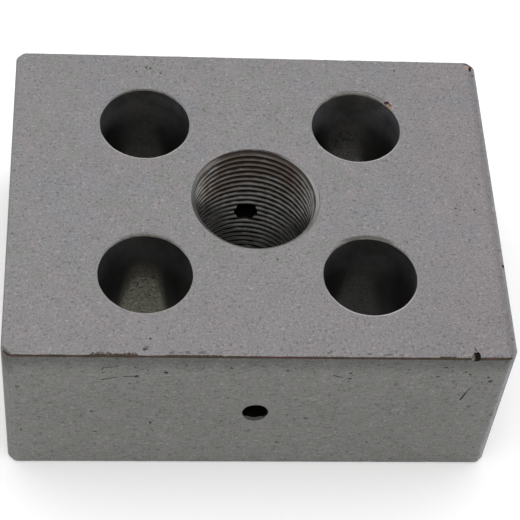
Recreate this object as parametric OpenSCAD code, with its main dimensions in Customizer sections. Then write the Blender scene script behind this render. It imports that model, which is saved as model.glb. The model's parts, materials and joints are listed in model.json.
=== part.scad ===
// Rope adapter plate: one machined steel block that joins a threaded rod to four rope ends.
// The rod screws into the middle, and the threaded end of a rope passes through each corner hole.
// A cross hole meets the rod thread at mid height and takes the pin that locks the rod.
// Millimetres, +Z up, front face towards -Y, origin at the middle of the bottom face.

/* [Block] */
// Width of the block, left to right
block_w = 127; // [110:1:160]
// Depth of the block, front to back
block_d = 100; // [90:1:140]
// Height of the block
block_h = 50; // [25:1:80]
// Leg of the 45 degree cut on each upright edge
corner_cut = 2; // [0.5:0.1:6]
// Leg of the small 45 degree break along the top and bottom edges
edge_break = 0.4; // [0.1:0.05:1]

/* [Rope holes] */
// Diameter of each plain hole for a rope's threaded end
rope_hole_d = 24; // [14:0.5:28]
// Distance between hole centres, left to right
rope_spacing_x = 57; // [54:0.5:70]
// Distance between hole centres, front to back
rope_spacing_y = 50; // [46:0.5:58]
// Leg of the break at each mouth of a rope hole
rope_hole_break = 0.4; // [0.1:0.05:1]

/* [Rod thread] */
// Nominal diameter of the rod thread
thread_d = 33; // [20:1:36]
// Pitch of the rod thread
thread_pitch = 2; // [1:0.25:3]
// How far the lead-in cone at each mouth stands outside the nominal diameter
thread_lead_in = 0.2; // [0.05:0.05:1]

/* [Locking pin hole] */
// Diameter of the cross hole for the locking pin
pin_hole_d = 6.5; // [3:0.1:12]
// Leg of the break at each end of the pin hole
pin_hole_break = 0.5; // [0.1:0.05:1]

/* [Hidden] */
$fn = 96;
steel_grey = [0.56, 0.54, 0.53];
// How far a cutter runs past the face that it opens
cut_past = 1;
// A metric nut thread keeps five eighths of the sharp triangle between its flats
thread_triangle_h = thread_pitch * sqrt(3) / 2;
thread_bore_d = thread_d - 2 * thread_triangle_h * 5 / 8;
thread_mouth_break = (thread_d - thread_bore_d) / 2 + thread_lead_in;
// The cross hole lies on the middle plane of the block
pin_hole_z = block_h / 2;

// Rectangle about the origin whose corners are cut at 45 degrees
module cut_rectangle(w, h, leg) {
  x = w / 2;
  y = h / 2;
  polygon([
    [x - leg, -y], [x, leg - y],
    [x, y - leg], [x - leg, y],
    [leg - x, y], [-x, y - leg],
    [-x, leg - y], [leg - x, -y]
  ]);
}

// Sawn bar with broken edges: its plan, front view and side view crossed with each other
module broken_edge_block() {
  translate([0, 0, block_h / 2])
    intersection() {
      linear_extrude(block_h, center = true)
        cut_rectangle(block_w, block_d, corner_cut);
      rotate([90, 0, 0])
        linear_extrude(block_d, center = true)
          cut_rectangle(block_w, block_h, edge_break);
      rotate([90, 0, 90])
        linear_extrude(block_w, center = true)
          cut_rectangle(block_d, block_h, edge_break);
    }
}

// Through hole of a given length about the origin, with a 45 degree cone at each mouth
module through_hole(d, length, mouth_break) {
  r = d / 2;
  half = length / 2;
  rotate_extrude()
    polygon([
      [0, -half - cut_past], [r + mouth_break + cut_past, -half - cut_past],
      [r, mouth_break - half], [r, half - mouth_break],
      [r + mouth_break + cut_past, half + cut_past], [0, half + cut_past]
    ]);
}

module rope_holes() {
  for (x = [-1, 1], y = [-1, 1])
    translate([x * rope_spacing_x / 2, y * rope_spacing_y / 2, block_h / 2])
      through_hole(rope_hole_d, block_h, rope_hole_break);
}

module rod_thread_hole() {
  translate([0, 0, block_h / 2])
    through_hole(thread_bore_d, block_h, thread_mouth_break);
}

module pin_hole() {
  translate([0, 0, pin_hole_z])
    rotate([90, 0, 0])
      through_hole(pin_hole_d, block_d, pin_hole_break);
}

module adapter_plate() {
  color(steel_grey)
    difference() {
      broken_edge_block();
      rope_holes();
      rod_thread_hole();
      pin_hole();
    }
}

adapter_plate();
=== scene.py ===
# %% [markdown]
# # A rope adapter plate
# The object is a thick block of steel bar. Four plain holes near its corners take rope ends,
# a fine thread in the middle takes a rod, and a small cross hole lets a pin lock that rod.
# This lesson dresses the block: it keeps the form of the CAD solid, cuts a real helical thread
# into it, wears its edges, and then gives each kind of surface its own finish.

# %% Load the fixed frame
import json
import math

import bmesh
import bpy
from mathutils import Matrix, Vector, noise


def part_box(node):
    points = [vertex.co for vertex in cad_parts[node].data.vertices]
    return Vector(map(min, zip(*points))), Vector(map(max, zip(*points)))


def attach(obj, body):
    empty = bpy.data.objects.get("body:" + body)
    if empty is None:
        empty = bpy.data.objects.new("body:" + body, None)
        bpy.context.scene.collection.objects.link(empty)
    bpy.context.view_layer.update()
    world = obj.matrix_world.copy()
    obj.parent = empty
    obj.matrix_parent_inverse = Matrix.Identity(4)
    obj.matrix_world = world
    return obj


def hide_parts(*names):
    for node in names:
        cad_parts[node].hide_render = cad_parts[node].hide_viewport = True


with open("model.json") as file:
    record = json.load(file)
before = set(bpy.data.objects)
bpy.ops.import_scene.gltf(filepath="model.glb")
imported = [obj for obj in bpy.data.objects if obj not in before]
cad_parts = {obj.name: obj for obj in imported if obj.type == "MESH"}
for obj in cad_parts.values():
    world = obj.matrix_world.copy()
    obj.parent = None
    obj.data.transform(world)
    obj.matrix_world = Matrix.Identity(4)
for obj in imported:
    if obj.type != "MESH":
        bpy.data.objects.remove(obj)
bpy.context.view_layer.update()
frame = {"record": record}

# %% [markdown]
# ## Sizes
# Everything is worked out in millimetres, as on a workshop drawing, and scaled to metres at the end.
# The block's size comes from the CAD node's box, and the holes come from the mounts in the packed
# record, so a change in the CAD model carries over to this script by itself.

# %% Read the sizes from the frame
MM = 0.001
_, plate_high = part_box("adapter_plate")
half_width = plate_high.x / MM
half_depth = plate_high.y / MM
height = plate_high.z / MM

mounts = {mount["name"]: mount for mount in frame["record"]["mounts"]}
rope_mounts = [mount for name, mount in mounts.items() if name.startswith("rope_hole")]
rope_centres = [Vector(mount["pos_m"]) / MM for mount in rope_mounts]
rope_radius = rope_mounts[0]["dims"]["r_mm"]
thread_core_radius = mounts["rod_thread"]["dims"]["r_mm"]
pin_radius = mounts["locking_pin_hole"]["dims"]["r_mm"]
pin_height = mounts["locking_pin_hole"]["pos_m"][2] / MM
print(f"block {2 * half_width:.1f} x {2 * half_depth:.1f} x {height:.1f} mm")
print(f"rope holes {2 * rope_radius:.1f} mm, thread core {2 * thread_core_radius:.2f} mm")

# %% [markdown]
# ## The camera
# A long lens, looking down at about 53 degrees and turned a little to the right, gives the view.
# The numbers were solved from the straight edges of the block and the round rims of its holes,
# which have known shapes. No lens shift is needed, so other views stay centred too.

# %% Place the camera
LENS_MM = 123.16
SENSOR_MM = 36.0
CLIP_NEAR = 0.01
CAMERA_PLACE = Vector((-38.21, -290.48, 409.52))
CAMERA_TURN = math.radians(8.168)
CAMERA_DIP = math.radians(52.789)
CAMERA_LEAN = math.radians(-7.252)

view_data = bpy.data.cameras.new("plate_view")
view_data.lens = LENS_MM
view_data.sensor_width = SENSOR_MM
view_data.clip_start = CLIP_NEAR
view = bpy.data.objects.new("plate_view", view_data)
view.matrix_world = (
    Matrix.Translation(CAMERA_PLACE * MM)
    @ Matrix.Rotation(-CAMERA_TURN, 4, "Z")
    @ Matrix.Rotation(math.pi / 2 - CAMERA_DIP, 4, "X")
    @ Matrix.Rotation(-CAMERA_LEAN, 4, "Z")
)
bpy.context.scene.collection.objects.link(view)
bpy.context.scene.camera = view
bpy.context.scene.view_settings.view_transform = "Standard"
print("camera at", [round(c, 1) for c in CAMERA_PLACE], "mm")

# %% [markdown]
# ## Small helpers for node trees
# Shader graphs are easier to read as formulas. These helpers add one node each and take either a
# number or another node's output for every input, so that a chain of nodes reads like arithmetic.


# %% Helpers that add one node each
def feed(tree, socket, value):
    """Links a node output to a socket, or writes a plain value there."""
    if isinstance(value, bpy.types.NodeSocket):
        tree.links.new(value, socket)
    else:
        socket.default_value = value


def calc(tree, operation, *values):
    """One Math node."""
    node = tree.nodes.new("ShaderNodeMath")
    node.operation = operation
    for socket, value in zip(node.inputs, values):
        feed(tree, socket, value)
    return node.outputs[0]


def vector_calc(tree, operation, *values):
    """One Vector Math node. Scale and the measured length have sockets of their own."""
    node = tree.nodes.new("ShaderNodeVectorMath")
    node.operation = operation
    if operation == "SCALE":
        feed(tree, node.inputs[0], values[0])
        feed(tree, node.inputs["Scale"], values[1])
        return node.outputs["Vector"]
    for socket, value in zip(node.inputs, values):
        feed(tree, socket, value)
    return node.outputs["Value" if operation in {"LENGTH", "DOT_PRODUCT"} else "Vector"]


def fade(tree, value, start, end, low=0.0, high=1.0):
    """A smooth step: low up to start, high from end on."""
    node = tree.nodes.new("ShaderNodeMapRange")
    node.interpolation_type = "SMOOTHSTEP"
    for socket, given in zip(node.inputs, (value, start, end, low, high)):
        feed(tree, socket, given)
    return node.outputs["Result"]


def mix_colour(tree, share, first, second, mode="MIX"):
    """One Mix node for colours."""
    node = tree.nodes.new("ShaderNodeMix")
    node.data_type = "RGBA"
    node.blend_type = mode
    sockets = {socket.identifier: socket for socket in node.inputs}
    feed(tree, sockets["Factor_Float"], share)
    feed(tree, sockets["A_Color"], first)
    feed(tree, sockets["B_Color"], second)
    return next(socket for socket in node.outputs if socket.identifier == "Result_Color")


def cloud(tree, place, scale, detail=2.0, roughness=0.5):
    """One Noise Texture, from 0 to 1 around 0.5."""
    node = tree.nodes.new("ShaderNodeTexNoise")
    feed(tree, node.inputs["Vector"], place)
    feed(tree, node.inputs["Scale"], scale)
    node.inputs["Detail"].default_value = detail
    node.inputs["Roughness"].default_value = roughness
    return node.outputs["Fac"]


def place_in_mm(tree):
    """The point on the plate, in the CAD frame, in millimetres."""
    where = tree.nodes.new("ShaderNodeTexCoord")
    return vector_calc(tree, "SCALE", where.outputs["Object"], 1 / MM)


print("node helpers ready")

# %% [markdown]
# ## The floor
# The block stands on a plain white floor, as small parts are often shown, and keeps a soft shadow
# on it. White paint alone looks a little grey beside a white background. A curved backdrop would be
# one way round that. Here the floor also glows faintly, but only for rays from the eye, from
# reflections and from clear glass, so that its glow adds no light to the block.

# %% Floor
FLOOR_HALF = 3.0
FLOOR_DROP = 0.00005
FLOOR_WHITE = (0.96, 0.96, 0.96, 1.0)
FLOOR_ROUGHNESS = 0.9
FLOOR_SPECULAR = 0.1
FLOOR_LIFT = 0.14
WHITE = (1.0, 1.0, 1.0, 1.0)

floor_mesh = bpy.data.meshes.new("floor")
floor_corners = [(-1, -1), (1, -1), (1, 1), (-1, 1)]
floor_points = [(x * FLOOR_HALF, y * FLOOR_HALF, -FLOOR_DROP) for x, y in floor_corners]
floor_mesh.from_pydata(floor_points, [], [range(4)])
floor = bpy.data.objects.new("floor", floor_mesh)
bpy.context.scene.collection.objects.link(floor)
floor_paint = bpy.data.materials.new("floor_paint")
floor_paint.use_nodes = True
floor_shader = floor_paint.node_tree.nodes["Principled BSDF"]
floor_shader.inputs["Base Color"].default_value = FLOOR_WHITE
floor_shader.inputs["Roughness"].default_value = FLOOR_ROUGHNESS
floor_shader.inputs["Specular IOR Level"].default_value = FLOOR_SPECULAR
floor_shader.inputs["Emission Color"].default_value = WHITE


def seen_by_eye(tree):
    """1 for rays that the eye, a reflection or clear glass sends, and 0 for rays that carry light about."""
    ray = tree.nodes.new("ShaderNodeLightPath")
    seen = calc(tree, "MAXIMUM", ray.outputs["Is Camera Ray"], ray.outputs["Is Glossy Ray"])
    return calc(tree, "MAXIMUM", seen, ray.outputs["Is Transmission Ray"])


floor_lift = calc(floor_paint.node_tree, "MULTIPLY", seen_by_eye(floor_paint.node_tree), FLOOR_LIFT)
floor_paint.node_tree.links.new(floor_lift, floor_shader.inputs["Emission Strength"])
floor_mesh.materials.append(floor_paint)
print("floor", 2 * FLOOR_HALF, "m square")

# %% [markdown]
# ## The room and its lamp
# Bare steel mirrors what stands round it, so the room matters as much as the lamp. The room is plain
# white for the eye and for reflections, and dimmer as a light, so that the lamp still shapes the
# block. One wide lamp overhead and a little behind the block makes the top the brightest face. It
# stays out of reflections, where its square outline would show.

# %% Room and lamp
ROOM_LIGHT = 0.55
ROOM_SEEN = 1.0
LAMP_PLACE = (0.2, 0.3, 2.4)
LAMP_TARGET = (0.2, 0.3, 0.0)
LAMP_SIZE = 4.0
LAMP_WATTS = 60.0

world = bpy.data.worlds.new("soft_room")
world.use_nodes = True
bpy.context.scene.world = world
room = world.node_tree
room_glow = room.nodes["Background"]
room_glow.inputs["Color"].default_value = WHITE
room_strength = calc(room, "MULTIPLY_ADD", seen_by_eye(room), ROOM_SEEN - ROOM_LIGHT, ROOM_LIGHT)
room.links.new(room_strength, room_glow.inputs["Strength"])


def soft_lamp(name, place, target, size, watts):
    """A square area lamp that faces a target, all in metres."""
    data = bpy.data.lights.new(name, "AREA")
    data.size = size
    data.energy = watts
    lamp = bpy.data.objects.new(name, data)
    lamp.location = place
    lamp.rotation_euler = (Vector(target) - Vector(place)).to_track_quat("-Z", "Y").to_euler()
    lamp.visible_glossy = False
    bpy.context.scene.collection.objects.link(lamp)
    return lamp


ceiling_lamp = soft_lamp("ceiling_lamp", LAMP_PLACE, LAMP_TARGET, LAMP_SIZE, LAMP_WATTS)
print("room and", ceiling_lamp.name, "ready")

# %% [markdown]
# ## Names for the finishes
# A steel part like this has several kinds of surface, and each gets a material of its own. The
# materials are only named here, so that the shapes can already say which finish each face takes.

# %% Name the finishes
FINISHES = (
    "milled_face",
    "bar_side",
    "broken_edge",
    "hole_rim",
    "drilled_wall",
    "tapped_thread",
    "chipped_pit",
)
finish = {name: bpy.data.materials.new(name) for name in FINISHES}
for material in finish.values():
    material.use_nodes = True
print(len(finish), "finishes named")

# %% [markdown]
# ## The block
# The bar was sawn to length, its four upright corners were cut at 45 degrees, and every edge was
# broken with a file. A bevelled cube would be quick, but its edges would be perfectly even. Here the
# outline of the block is walked round in small steps instead, so that each step can have an edge of
# its own.

# %% The plan of the block
CORNER_CUT = 2.0
CORNER_EASE = 0.5
EDGE_BREAK = 0.4
EDGE_STEP = 0.8
LEAST_STEPS = 3


def cut_corners(inset):
    """The eight corners of the plan, moved inwards, counter-clockwise from the right front."""
    a = half_width - inset
    b = half_depth - inset
    c = CORNER_CUT - inset * (2 - math.sqrt(2))
    right = [(a, -b + c), (a, b - c), (a - c, b)]
    left = [(-a + c, b), (-a, b - c), (-a, -b + c)]
    front = [(-a + c, -b), (a - c, -b)]
    return [Vector(corner) for corner in right + left + front]


def plan_corners(inset):
    """The same plan with each corner eased, so that no upright edge is as sharp as a knife."""
    sharp = cut_corners(inset)
    eased = []
    for i, corner in enumerate(sharp):
        for other in (sharp[i - 1], sharp[(i + 1) % len(sharp)]):
            eased.append(corner + (other - corner).normalized() * CORNER_EASE)
    return eased


def walk_round():
    """Steps along the plan: (side, share of that side, distance walked)."""
    steps = []
    walked = 0.0
    corners = plan_corners(0.0)
    for side, corner in enumerate(corners):
        length = (corners[(side + 1) % len(corners)] - corner).length
        count = max(LEAST_STEPS, round(length / EDGE_STEP))
        for i in range(count):
            steps.append((side, i / count, walked + length * i / count))
        walked += length
    return steps


def on_plan(side, share, inset):
    """The point of one step, moved inwards."""
    corners = plan_corners(inset)
    return corners[side].lerp(corners[(side + 1) % len(corners)], share)


steps = walk_round()
print(len(steps), "steps round the block")

# %% [markdown]
# ## The broken edges
# A file never takes off quite the same amount, so the width of the broken edge follows two waves of
# noise, one slow and one quick. Each edge is made of three rings of points: one on the wall, one on
# the edge and one on the flat face. The flat faces stay truly flat, and only the edge is uneven.

# %% Build the block with its uneven edges
WEAR_SLOW = 0.22
WEAR_QUICK = 1.1
WEAR_SHARE_SLOW = 0.35
WEAR_SHARE_QUICK = 0.3
LEAST_BREAK = 0.16
EDGE_ROUND = 0.37
QUICK_SEED = 7.0
DENT_SEED = 3.0
LOW_SEED = 11.0
HIGH_SEED = 23.0


def worn_break(walked, seed):
    """Width of the broken edge at one step."""
    slow = noise.noise(Vector((walked * WEAR_SLOW, seed, 0.0)))
    quick = noise.noise(Vector((walked * WEAR_QUICK, seed, QUICK_SEED)))
    width = EDGE_BREAK * (1 + WEAR_SHARE_SLOW * slow + WEAR_SHARE_QUICK * quick)
    return max(LEAST_BREAK, width)


def edge_rings(shape, seed, level, inward):
    """Three rings of points over one worn edge: on the wall, on the edge and on the flat face."""
    wall_ring, edge_ring, face_ring = [], [], []
    for side, share, walked in steps:
        width = worn_break(walked, seed)
        dent = EDGE_ROUND * worn_break(walked, seed + DENT_SEED)
        wall_ring.append(shape.verts.new((*on_plan(side, share, 0.0), level + inward * width)))
        edge_ring.append(shape.verts.new((*on_plan(side, share, dent), level + inward * dent)))
        face_ring.append(shape.verts.new((*on_plan(side, share, width), level)))
    return wall_ring, edge_ring, face_ring


def add_strip(shape, first, second, slot):
    """A band of four-sided faces between two rings."""
    for i in range(len(first)):
        j = (i + 1) % len(first)
        face = shape.faces.new((first[i], first[j], second[j], second[i]))
        face.material_index = slot
        face.smooth = True


def side_runs():
    """First step of each side, with the first step of the next side at the end."""
    starts = [i for i, (side, share, walked) in enumerate(steps) if share == 0.0]
    return list(zip(starts, starts[1:] + [len(steps)]))


def build_block():
    """The closed block, in millimetres, without its holes."""
    shape = bmesh.new()
    low_wall, low_edge, low_face = edge_rings(shape, LOW_SEED, 0.0, 1)
    high_wall, high_edge, high_face = edge_rings(shape, HIGH_SEED, height, -1)
    face_slot, side_slot, edge_slot = range(3)
    shape.faces.new(low_face[::-1]).material_index = face_slot
    add_strip(shape, low_face, low_edge, edge_slot)
    add_strip(shape, low_edge, low_wall, edge_slot)
    for start, end in side_runs():
        run = [i % len(steps) for i in range(start, end + 1)]
        outline = [low_wall[i] for i in run] + [high_wall[i] for i in reversed(run)]
        shape.faces.new(outline).material_index = side_slot
    add_strip(shape, high_wall, high_edge, edge_slot)
    add_strip(shape, high_edge, high_face, edge_slot)
    shape.faces.new(high_face).material_index = face_slot
    return shape


def to_object(name, shape, *finish_names):
    """Turns a bmesh into an object with these finishes, and frees the bmesh."""
    mesh = bpy.data.meshes.new(name)
    shape.to_mesh(mesh)
    shape.free()
    for finish_name in finish_names:
        mesh.materials.append(finish[finish_name])
    made = bpy.data.objects.new(name, mesh)
    bpy.context.scene.collection.objects.link(made)
    return made


plate = to_object("adapter_plate_dressed", build_block(), "milled_face", "bar_side", "broken_edge")
print("block faces:", len(plate.data.polygons))

# %% [markdown]
# ## Drills
# Holes are made as in the workshop: a solid tool is built and its volume is cut away. A drill is a
# profile turned round an axis. Each tool carries the finish that it leaves behind, and the cut
# passes that finish on to the new faces, so no face has to be picked out by hand later.

# %% A turned drill
RIM_LUMPS = 4.0


def turned_drill(profile, segments, slots, wobble=0.0, seed=0.0):
    """A closed solid turned round Z. The profile is a list of (radius, z), from the bottom up."""
    shape = bmesh.new()
    rings = []
    for radius, z in profile:
        ring = []
        for i in range(segments):
            angle = 2 * math.pi * i / segments
            out = Vector((math.cos(angle), math.sin(angle), 0.0))
            rough = radius + wobble * noise.noise(out * RIM_LUMPS + Vector((seed, z, radius)))
            ring.append(shape.verts.new(out * rough + Vector((0.0, 0.0, z))))
        rings.append(ring)
    shape.faces.new(rings[0][::-1])
    shape.faces.new(rings[-1])
    for below, above, slot in zip(rings, rings[1:], slots):
        add_strip(shape, below, above, slot)
    return shape


def cut_away(target, tool):
    """Cuts one closed tool out of the target, and removes the tool."""
    cut = target.modifiers.new("cut", "BOOLEAN")
    cut.operation = "DIFFERENCE"
    cut.solver = "EXACT"
    cut.material_mode = "TRANSFER"
    cut.object = tool
    graph = bpy.context.evaluated_depsgraph_get()
    left_over = bpy.data.meshes.new_from_object(target.evaluated_get(graph))
    target.modifiers.clear()
    before = target.data
    target.data = left_over
    bpy.data.meshes.remove(before)
    bpy.data.objects.remove(tool)
    return len(left_over.polygons)


print("drills are turned, and cut, by two helpers")

# %% [markdown]
# ## The rope holes
# Each of the four plain holes takes the end of a rope. The drill goes right through, with a flat cone
# at each end that breaks the mouth, so that no sharp rim cuts the rope. Holes could also be drawn
# into the flat faces, but a turned drill gives each hole a slightly uneven rim of its own.

# %% Drill the four rope holes
ROPE_SEGMENTS = 128
ROPE_BREAK = 0.42
BREAK_SLOPE = 2.3
RIM_WOBBLE = 0.1
HOLE_SEED = 5.0
OVERSHOOT = 1.5
WALL_SLOT = 0
RIM_SLOT = 1


def drill_profile(radius, length, mouth_break):
    """Radius and height along a drill that passes through and breaks both mouths."""
    deep = mouth_break / BREAK_SLOPE
    wide = radius + mouth_break + OVERSHOOT * BREAK_SLOPE
    return [
        (wide, -OVERSHOOT),
        (radius, deep),
        (radius, length - deep),
        (wide, length + OVERSHOOT),
    ]


rope_profile = drill_profile(rope_radius, height, ROPE_BREAK)
rope_slots = (RIM_SLOT, WALL_SLOT, RIM_SLOT)
for count, centre in enumerate(rope_centres):
    drill_shape = turned_drill(rope_profile, ROPE_SEGMENTS, rope_slots, RIM_WOBBLE, HOLE_SEED * count)
    drill = to_object("drill", drill_shape, "drilled_wall", "hole_rim")
    drill.location = (centre.x, centre.y, 0.0)
    print("rope hole at", tuple(round(c, 1) for c in centre.xy), "faces:", cut_away(plate, drill))

# %% [markdown]
# ## The thread
# A tap is a screw that cuts its own form into the wall. The groove climbs two millimetres a turn.
# A stack of separate rings would look like a thread from far away, but its lines would not run into
# each other. Here one grid of points follows the helix: a row of the grid goes once round, and its
# last point joins the row that lies one turn higher.

# %% Build the tap
THREAD_PITCH = 2.0
THREAD_DIAMETER = 33.0
THREAD_SEGMENTS = 96
THREAD_START = math.radians(180.0)
TAP_END = 4.0
CREST_EASE = 0.05
ROOT_EASE = 0.02

root_radius = THREAD_DIAMETER / 2
tap_profile = [
    (0.000, thread_core_radius + CREST_EASE),
    (0.030, thread_core_radius),
    (0.220, thread_core_radius),
    (0.250, thread_core_radius + CREST_EASE),
    (0.555, root_radius - ROOT_EASE),
    (0.695, root_radius - ROOT_EASE),
]
GROOVE_MIDDLE = 0.625


def build_tap():
    """The closed tap, in millimetres, longer than the block at both ends."""
    shape = bmesh.new()
    rows_a_turn = len(tap_profile)
    turns = math.ceil((height + 2 * TAP_END) / THREAD_PITCH)
    start = height - THREAD_PITCH * (GROOVE_MIDDLE + THREAD_START / (2 * math.pi))
    start -= THREAD_PITCH * math.ceil((start + TAP_END) / THREAD_PITCH)
    rows = []
    for turn in range(turns + 1):
        for climb, radius in tap_profile:
            row = []
            for i in range(THREAD_SEGMENTS):
                share = i / THREAD_SEGMENTS
                angle = 2 * math.pi * share
                z = start + THREAD_PITCH * (turn + climb + share)
                row.append(shape.verts.new((radius * math.cos(angle), radius * math.sin(angle), z)))
            rows.append(row)
    last = len(rows) - rows_a_turn

    def grid(row, column):
        """A point of the grid. Past the end of a row, it is the start of the row one turn higher."""
        if column < THREAD_SEGMENTS:
            return rows[row][column]
        return rows[row + rows_a_turn][0]

    for row in range(last - 1):
        for i in range(THREAD_SEGMENTS):
            corners = (grid(row, i), grid(row, i + 1), grid(row + 1, i + 1), grid(row + 1, i))
            shape.faces.new(corners).smooth = True
    close_end(shape, grid, 0, rows_a_turn, -1)
    close_end(shape, grid, last - 1, rows_a_turn, 1)
    loose = [v for v in shape.verts if not v.link_faces]
    bmesh.ops.delete(shape, geom=loose, context="VERTS")
    return shape


def close_end(shape, grid, row, rows_a_turn, way):
    """Closes one end of the tap with a fan of triangles round a point on the axis."""
    rim = [grid(row, i) for i in range(THREAD_SEGMENTS)]
    rim += [grid(row + k, 0) for k in range(rows_a_turn, 0, -1)]
    middle = shape.verts.new((0.0, 0.0, sum(v.co.z for v in rim) / len(rim)))
    for i in range(len(rim)):
        pair = (rim[i], rim[(i + 1) % len(rim)])
        shape.faces.new((*(pair if way > 0 else pair[::-1]), middle))


tap = to_object("tap", build_tap(), "tapped_thread")
print("tap faces:", len(tap.data.polygons), "plate faces:", cut_away(plate, tap))

# %% [markdown]
# ## The mouths of the thread
# A countersink opens both ends of the thread, so that the rod starts easily and no thin first turn is
# left. The cone is cut after the tapping, so the first groove runs out through it. It sits a tenth of
# a millimetre off the axis, as a tool that is set up by hand does.

# %% Break the mouths of the thread
MOUTH_RADIUS = 16.7
MOUTH_SLOPE = 1.0
MOUTH_SEGMENTS = 128
MOUTH_DEPTH = 1.5
MOUTH_SHIFT = Vector((0.12, -0.1, 0.0))

for level, way in ((0.0, 1), (height, -1)):
    cone = [
        (MOUTH_RADIUS + OVERSHOOT * MOUTH_SLOPE, level - way * OVERSHOOT),
        (MOUTH_RADIUS - MOUTH_DEPTH * MOUTH_SLOPE, level + way * MOUTH_DEPTH),
    ]
    cone.sort(key=lambda point: point[1])
    countersink = to_object("countersink", turned_drill(cone, MOUTH_SEGMENTS, (0,)), "hole_rim")
    countersink.location = MOUTH_SHIFT
    print("mouth at", level, "faces:", cut_away(plate, countersink))

# %% [markdown]
# ## The cross hole
# A small drill goes in at the middle of the front face, through the thread and out at the back. It is
# the same turned tool as before, laid along the depth of the block.

# %% Drill the cross hole
PIN_SEGMENTS = 48
PIN_BREAK = 0.15
PIN_SEED = 31.0
ALONG_DEPTH = (-math.pi / 2, 0.0, 0.0)

pin_profile = drill_profile(pin_radius, 2 * half_depth, PIN_BREAK)
pin_slots = (WALL_SLOT, WALL_SLOT, WALL_SLOT)
pin_shape = turned_drill(pin_profile, PIN_SEGMENTS, pin_slots, RIM_WOBBLE, PIN_SEED)
pin_drill = to_object("pin_drill", pin_shape, "drilled_wall")
pin_drill.rotation_euler = ALONG_DEPTH
pin_drill.location = (0.0, -half_depth, pin_height)
bpy.context.view_layer.update()
print("cross hole, faces:", cut_away(plate, pin_drill))

# %% [markdown]
# ## The worn lip
# The lower lip of the cross hole's front mouth is worn. A sculpted dent would be hard to repeat, so a
# short cone that sits a little below the axis of the hole takes a crescent off there.

# %% Wear its lower lip
LIP_DROP = 1.25
LIP_INSET = 0.4
LIP_RADIUS = pin_radius - LIP_INSET
LIP_DEPTH = 0.6

lip_profile = [(LIP_RADIUS + OVERSHOOT, -OVERSHOOT), (LIP_RADIUS - LIP_DEPTH, LIP_DEPTH)]
lip_cone = to_object("lip_cone", turned_drill(lip_profile, PIN_SEGMENTS, (WALL_SLOT,)), "drilled_wall")
lip_cone.rotation_euler = ALONG_DEPTH
lip_cone.location = (0.0, -half_depth, pin_height - LIP_DROP)
bpy.context.view_layer.update()
print("worn lip, faces:", cut_away(plate, lip_cone))

# %% [markdown]
# ## Chips and dents
# The block has been handled: its front edge has a deep nick near the right corner, and a few small
# chips sit at the back corner and on the rim of one hole. Each is a lumpy pebble cut out of the steel.

# %% Knock the chips out
CHIPS = {
    "front_nick": ((52.85, -50.0, 50.0), (1.12, 1.85, 0.95)),
    "nick_side": ((53.45, -49.3, 50.2), (0.62, 1.55, 1.2)),
    "corner_chip": ((62.2, 47.2, 50.0), (0.35, 0.8, 0.35)),
    "rim_chip": ((37.65, 34.0, 50.05), (0.8, 0.62, 0.3)),
    "rim_chip_foot": ((38.35, 32.9, 50.08), (0.55, 0.8, 0.28)),
    "end_chip": ((63.4, -21.3, 50.0), (0.55, 0.7, 0.45)),
}
PEBBLE_LUMPS = 0.22
PEBBLE_PITCH = 1.7
PEBBLE_SEED = 9.0


def build_pebble(size, seed):
    """A lumpy ball with three radii."""
    shape = bmesh.new()
    bmesh.ops.create_icosphere(shape, subdivisions=3, radius=1.0)
    for vert in shape.verts:
        lump = 1 + PEBBLE_LUMPS * noise.noise(vert.co * PEBBLE_PITCH + Vector((seed, 0.0, 0.0)))
        vert.co = Vector(c * s * lump for c, s in zip(vert.co, size))
    for face in shape.faces:
        face.smooth = True
    return shape


for count, (chip_name, (place, size)) in enumerate(CHIPS.items()):
    pebble = to_object(chip_name, build_pebble(size, PEBBLE_SEED * count), "chipped_pit")
    pebble.location = place
    print(chip_name, "faces:", cut_away(plate, pebble))

# %% [markdown]
# ## Clean up and check the mesh
# A cut can leave points that lie on top of each other. They are merged, the open edges of the mesh
# are counted, and its volume is worked out and printed. Flat faces are shaded flat and round walls
# smooth, with sharp edges where faces meet at more than 28 degrees.

# %% Finish the mesh
MERGE_MM = 0.007
SHARP_ANGLE = math.radians(28.0)
FLAT_FINISHES = {"milled_face", "bar_side"}


def clean_plate(mesh):
    """Merges doubled points and counts what would make the mesh unsound."""
    shape = bmesh.new()
    shape.from_mesh(mesh)
    bmesh.ops.remove_doubles(shape, verts=shape.verts, dist=MERGE_MM)
    bmesh.ops.dissolve_degenerate(shape, edges=shape.edges, dist=MERGE_MM)
    bmesh.ops.triangulate(shape, faces=[f for f in shape.faces if len(f.verts) > 4])
    open_edges = sum(1 for e in shape.edges if len(e.link_faces) != 2)
    volume = shape.calc_volume()
    shape.to_mesh(mesh)
    triangles = sum(len(f.verts) - 2 for f in shape.faces)
    shape.free()
    return open_edges, volume, triangles


open_edges, volume, triangles = clean_plate(plate.data)
plate.data.transform(Matrix.Scale(MM, 4))
plate.data.set_sharp_from_angle(angle=SHARP_ANGLE)
for face in plate.data.polygons:
    face.use_smooth = plate.data.materials[face.material_index].name not in FLAT_FINISHES
print(f"open edges {open_edges}, volume {volume:.0f} mm3, triangles {triangles}")
print("finishes on the plate:", [m.name for m in plate.data.materials])

# %% [markdown]
# ## Effects that several finishes share
# Grain, level dashes, pits, scratches and brown stains turn up on more than one surface of the block.
# They could be drawn anew in every material, but then they would drift apart. Each is a node group
# instead: built once, with named inputs and outputs, and placed in every material with its own values.
# All of them read the place on the plate in millimetres, so they keep their real size.


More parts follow.
